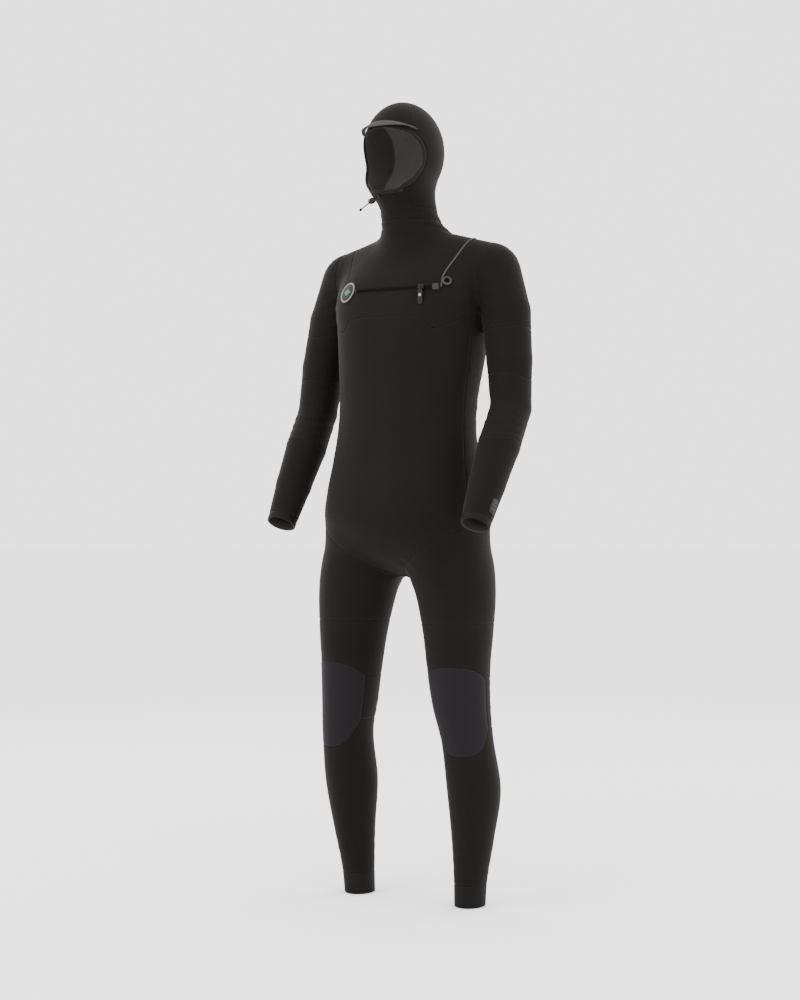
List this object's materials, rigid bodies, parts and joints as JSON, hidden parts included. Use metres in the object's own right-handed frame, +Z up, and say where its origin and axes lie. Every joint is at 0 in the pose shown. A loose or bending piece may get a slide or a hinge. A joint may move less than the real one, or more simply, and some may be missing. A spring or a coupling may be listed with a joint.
{
  "type": "hooded full wetsuit",
  "caption": "Hooded full-length neoprene wetsuit with a chest zip, separate flap and yoke, knee pads, brim, drawcord with lock, and sealed cuffs, standing in its worn shape.",
  "frame": {"origin": "middle of the shoulder line, on the line where a hanger carries the suit", "axes": "+Z up along the standing suit, +X to the wearer's left, -Y the way the wearer faces"},
  "size_m": [0.5706, 0.3039, 1.691],
  "materials": {
    "black_jersey": "matte",
    "smooth_neoprene": "satin",
    "abrasion_fabric": "matte",
    "binding": "matte",
    "black_hardware": "satin",
    "badge_rubber": "satin",
    "lock_button": "satin",
    "spring_steel": "satin"
  },
  "bodies": {
    "torso": {"back_torso_panel": "black_jersey", "back_yoke": "black_jersey", "chest_badge": "badge_rubber", "chest_eyelet": "black_hardware", "chest_flap": "black_jersey", "chest_panel": "black_jersey", "flap_piping_left": "binding", "front_torso_panel": "black_jersey", "hip_panel_left": "black_jersey", "hip_panel_right": "black_jersey", "neck_panel": "black_jersey", "shoulder_panel_left": "black_jersey", "shoulder_panel_right": "black_jersey", "side_panel_left": "black_jersey", "side_panel_right": "black_jersey", "zip_chain": "black_hardware", "zip_garage": "abrasion_fabric", "zip_stop": "black_hardware", "zip_tape": "black_hardware"},
    "upper_arm_left": {"upper_sleeve_left": "black_jersey", "elbow_panel_left": "abrasion_fabric"},
    "forearm_left": {"forearm_sleeve_left": "black_jersey", "wrist_seal_left": "smooth_neoprene", "wrist_badge": "badge_rubber"},
    "thigh_left": {"thigh_panel_left": "black_jersey", "knee_pad_left": "abrasion_fabric", "knee_back_panel_left": "black_jersey"},
    "shin_left": {"calf_panel_left": "black_jersey", "ankle_seal_left": "smooth_neoprene"},
    "upper_arm_right": {"upper_sleeve_right": "black_jersey", "elbow_panel_right": "abrasion_fabric"},
    "forearm_right": {"forearm_sleeve_right": "black_jersey", "wrist_seal_right": "smooth_neoprene"},
    "thigh_right": {"thigh_panel_right": "black_jersey", "knee_pad_right": "abrasion_fabric", "knee_back_panel_right": "black_jersey"},
    "shin_right": {"calf_panel_right": "black_jersey", "ankle_seal_right": "smooth_neoprene"},
    "hood": {"hood_side_left": "black_jersey", "hood_side_right": "black_jersey", "hood_middle_band": "black_jersey", "chin_panel": "black_jersey", "face_seal": "binding", "cord_eyelet": "black_hardware", "hood_drawcord": "black_hardware", "cord_knot": "black_hardware"},
    "brim": {"visor": "abrasion_fabric"},
    "slider": {"zip_slider": "black_hardware"},
    "pull": {"zip_pull": "black_hardware"},
    "cord_lock": {"cord_lock_body": "black_hardware", "cord_lock_spring": "spring_steel"},
    "lock_button": {"cord_lock_button": "lock_button"}
  },
  "joints": [
    {"name": "shoulder_swing_left", "type": "hinge", "parent": "torso", "child": "upper_arm_left", "pos_m": [0.187, 0.012, -0.059], "axis": [-1, 0, 0], "range_deg": [-20, 45], "deforming": ["shoulder_panel_left"]},
    {"name": "elbow_bend_left", "type": "hinge", "parent": "upper_arm_left", "child": "forearm_left", "pos_m": [0.242, -0.021, -0.345], "axis": [-0.9595, 0.2499, -0.1299], "range_deg": [-15, 80], "deforming": ["elbow_panel_left"]},
    {"name": "hip_bend_left", "type": "hinge", "parent": "torso", "child": "thigh_left", "pos_m": [0.097, -0.038, -0.645], "axis": [-1, 0, 0], "range_deg": [-15, 60], "deforming": ["hip_panel_left"]},
    {"name": "knee_bend_left", "type": "hinge", "parent": "thigh_left", "child": "shin_left", "pos_m": [0.139, -0.046, -0.963], "axis": [1, 0, 0], "range_deg": [0, 90], "deforming": ["knee_pad_left", "knee_back_panel_left"]},
    {"name": "shoulder_swing_right", "type": "hinge", "parent": "torso", "child": "upper_arm_right", "pos_m": [-0.187, 0.012, -0.059], "axis": [-1, 0, 0], "range_deg": [-20, 45], "deforming": ["shoulder_panel_right"]},
    {"name": "elbow_bend_right", "type": "hinge", "parent": "upper_arm_right", "child": "forearm_right", "pos_m": [-0.242, -0.021, -0.345], "axis": [-0.9595, -0.2499, 0.1299], "range_deg": [-15, 80], "deforming": ["elbow_panel_right"]},
    {"name": "hip_bend_right", "type": "hinge", "parent": "torso", "child": "thigh_right", "pos_m": [-0.097, -0.038, -0.645], "axis": [-1, 0, 0], "range_deg": [-15, 60], "deforming": ["hip_panel_right"]},
    {"name": "knee_bend_right", "type": "hinge", "parent": "thigh_right", "child": "shin_right", "pos_m": [-0.139, -0.046, -0.963], "axis": [1, 0, 0], "range_deg": [0, 90], "deforming": ["knee_pad_right", "knee_back_panel_right"]},
    {"name": "hood_nod", "type": "hinge", "parent": "torso", "child": "hood", "pos_m": [0, -0.021, 0.068], "axis": [-1, 0, 0], "range_deg": [-15, 15], "deforming": ["neck_panel"]},
    {"name": "visor_flip", "type": "hinge", "parent": "hood", "child": "brim", "pos_m": [0, -0.139, 0.249], "axis": [-1, 0, 0], "range_deg": [0, 14], "stiffness_Nm_per_rad": 0.3},
    {"name": "zip_run", "type": "hinge", "parent": "torso", "child": "slider", "pos_m": [0, 0.40788, -0.095], "axis": [0, 0, -1], "range_deg": [0, 16.32]},
    {"name": "zip_pull_flip", "type": "hinge", "parent": "slider", "child": "pull", "pos_m": [0.08599, -0.12619, -0.0974], "axis": [-0.9873, -0.159, 0], "range_deg": [0, 100]},
    {"name": "cord_lock_slide", "type": "slide", "parent": "hood", "child": "cord_lock", "axis": [-0.5014, -0.6217, -0.6017], "range_m": [-0.008, 0.014]},
    {"name": "lock_press", "type": "slide", "parent": "cord_lock", "child": "lock_button", "axis": [0.7976, -0.6017, -0.0429], "range_m": [0, 0.003], "stiffness_N_per_m": 700, "deforming": ["cord_lock_spring"]}
  ]
}
